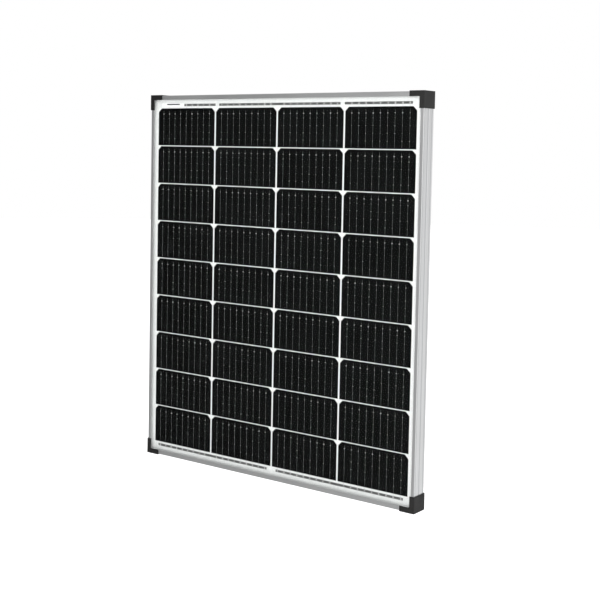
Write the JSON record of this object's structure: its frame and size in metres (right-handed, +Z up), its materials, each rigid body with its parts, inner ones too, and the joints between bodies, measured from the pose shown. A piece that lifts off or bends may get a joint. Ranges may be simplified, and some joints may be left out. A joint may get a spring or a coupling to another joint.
{
  "type": "solar panel",
  "caption": "Rigid framed solar panel with half-cut dark cells behind glass, aluminium rails, black corner guards and a rear junction box with a hinged lid.",
  "frame": {"origin": "centre of the whole panel's box, half way through its thickness", "axes": "+X to the right seen from the glass side, +Y out of the back, +Z up; the glass faces -Y"},
  "size_m": [0.715, 0.041, 0.823],
  "materials": {
    "anodised_aluminium": "satin silver anodised",
    "guard_plastic": "matte black moulded",
    "solar_glass": "tempered low-iron, anti-reflection",
    "encapsulant_film": "clear film",
    "dark_silicon": "dark coated single-crystal silicon",
    "tinned_copper": "dull tin over copper",
    "white_backsheet": "white film",
    "box_plastic": "black moulded",
    "gasket_rubber": "soft black",
    "terminal_moulding": "grey moulded",
    "diode_black": "black epoxy"
  },
  "bodies": {
    "panel": {"rail_top": "anodised_aluminium", "rail_bottom": "anodised_aluminium", "rail_left": "anodised_aluminium", "rail_right": "anodised_aluminium", "corner_guard_top_right": "guard_plastic", "corner_guard_bottom_right": "guard_plastic", "corner_guard_bottom_left": "guard_plastic", "corner_guard_top_left": "guard_plastic", "front_glass": "solar_glass", "encapsulant": "encapsulant_film", "cell_c1_r1": "dark_silicon", "cell_c1_r2": "dark_silicon", "cell_c1_r3": "dark_silicon", "cell_c1_r4": "dark_silicon", "cell_c1_r5": "dark_silicon", "cell_c1_r6": "dark_silicon", "cell_c1_r7": "dark_silicon", "cell_c1_r8": "dark_silicon", "cell_c1_r9": "dark_silicon", "cell_c2_r1": "dark_silicon", "cell_c2_r2": "dark_silicon", "cell_c2_r3": "dark_silicon", "cell_c2_r4": "dark_silicon", "cell_c2_r5": "dark_silicon", "cell_c2_r6": "dark_silicon", "cell_c2_r7": "dark_silicon", "cell_c2_r8": "dark_silicon", "cell_c2_r9": "dark_silicon", "cell_c3_r1": "dark_silicon", "cell_c3_r2": "dark_silicon", "cell_c3_r3": "dark_silicon", "cell_c3_r4": "dark_silicon", "cell_c3_r5": "dark_silicon", "cell_c3_r6": "dark_silicon", "cell_c3_r7": "dark_silicon", "cell_c3_r8": "dark_silicon", "cell_c3_r9": "dark_silicon", "cell_c4_r1": "dark_silicon", "cell_c4_r2": "dark_silicon", "cell_c4_r3": "dark_silicon", "cell_c4_r4": "dark_silicon", "cell_c4_r5": "dark_silicon", "cell_c4_r6": "dark_silicon", "cell_c4_r7": "dark_silicon", "cell_c4_r8": "dark_silicon", "cell_c4_r9": "dark_silicon", "bus_ribbon_top_left": "tinned_copper", "bus_ribbon_top_middle": "tinned_copper", "bus_ribbon_top_right": "tinned_copper", "bus_ribbon_bottom_left": "tinned_copper", "bus_ribbon_bottom_right": "tinned_copper", "backsheet": "white_backsheet", "junction_box_base": "box_plastic", "cable_gland_left": "box_plastic", "cable_gland_right": "box_plastic", "lid_gasket": "gasket_rubber", "terminal_block": "terminal_moulding", "bypass_diode_left": "diode_black", "bypass_diode_right": "diode_black"},
    "lid": {"junction_box_lid": "box_plastic"}
  },
  "joints": [
    {"name": "lid_hinge", "type": "hinge", "parent": "panel", "child": "lid", "pos_m": [0, 0.0057, 0.3642], "axis": [1, 0, 0], "range_deg": [0, 100]}
  ]
}
